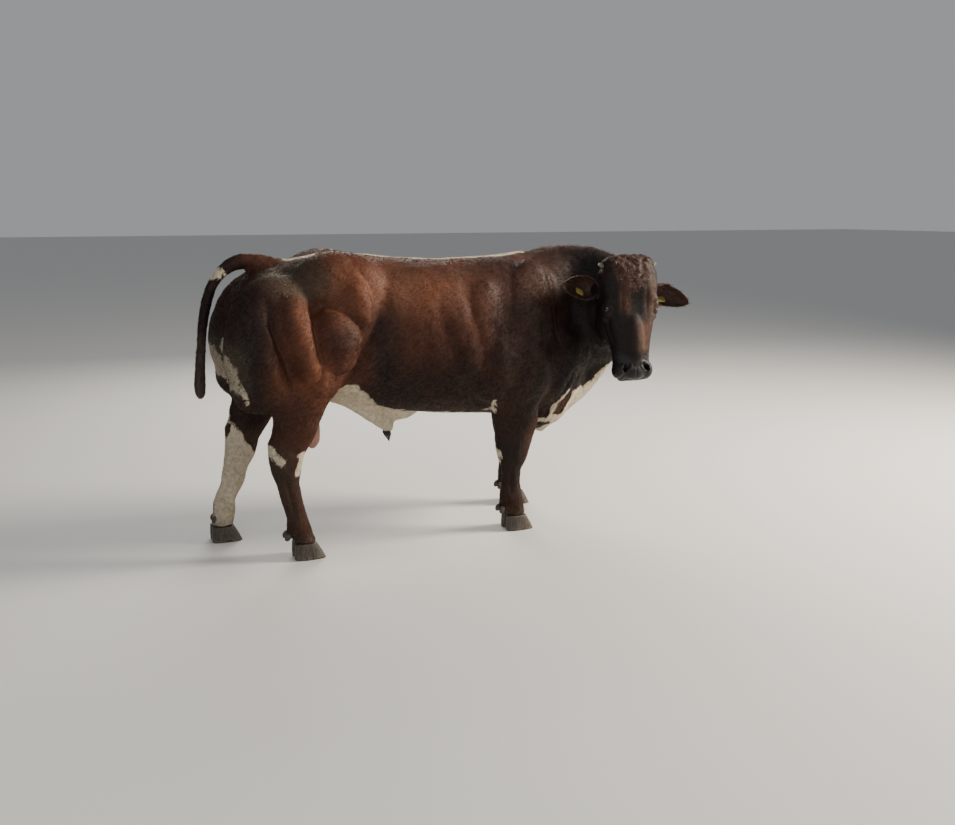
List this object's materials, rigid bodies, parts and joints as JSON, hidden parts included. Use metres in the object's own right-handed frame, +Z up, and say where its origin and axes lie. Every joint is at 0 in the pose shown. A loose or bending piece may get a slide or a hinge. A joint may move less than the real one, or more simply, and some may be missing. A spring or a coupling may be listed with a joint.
{
  "type": "beef bull",
  "caption": "Standing double-muscled beef bull with its head turned to one side, life size, a still model on four feet.",
  "frame": {"origin": "on the floor under the middle of the box round the whole animal", "axes": "+X forward along the body towards the shoulder, +Y to the animal's left, +Z up; the head is turned to -Y"},
  "size_m": [2.3776, 0.924, 1.4202],
  "materials": {
    "coat": "short hair, soft sheen",
    "hoof": "matte horn",
    "horn_bud": "matte horn",
    "eye": "wet gloss",
    "tag": "satin"
  },
  "bodies": {
    "root": {"hindleg_right": "coat", "hindleg_left": "coat", "foreleg_right": "coat", "foreleg_left": "coat", "scrotum": "coat", "sheath": "coat", "hindquarters": "coat", "torso": "coat", "neck": "coat", "head": "coat", "tail_root": "coat", "tail_middle": "coat", "tail_end": "coat", "ear_right": "coat", "ear_left": "coat", "claw_fore_right_inner": "hoof", "claw_fore_right_outer": "hoof", "claw_fore_left_inner": "hoof", "claw_fore_left_outer": "hoof", "claw_hind_right_inner": "hoof", "claw_hind_right_outer": "hoof", "claw_hind_left_inner": "hoof", "claw_hind_left_outer": "hoof", "horn_bud_right": "horn_bud", "horn_bud_left": "horn_bud", "eye_right": "eye", "eye_left": "eye", "ear_tag_right": "tag", "ear_tag_left": "tag"}
  },
  "joints": []
}
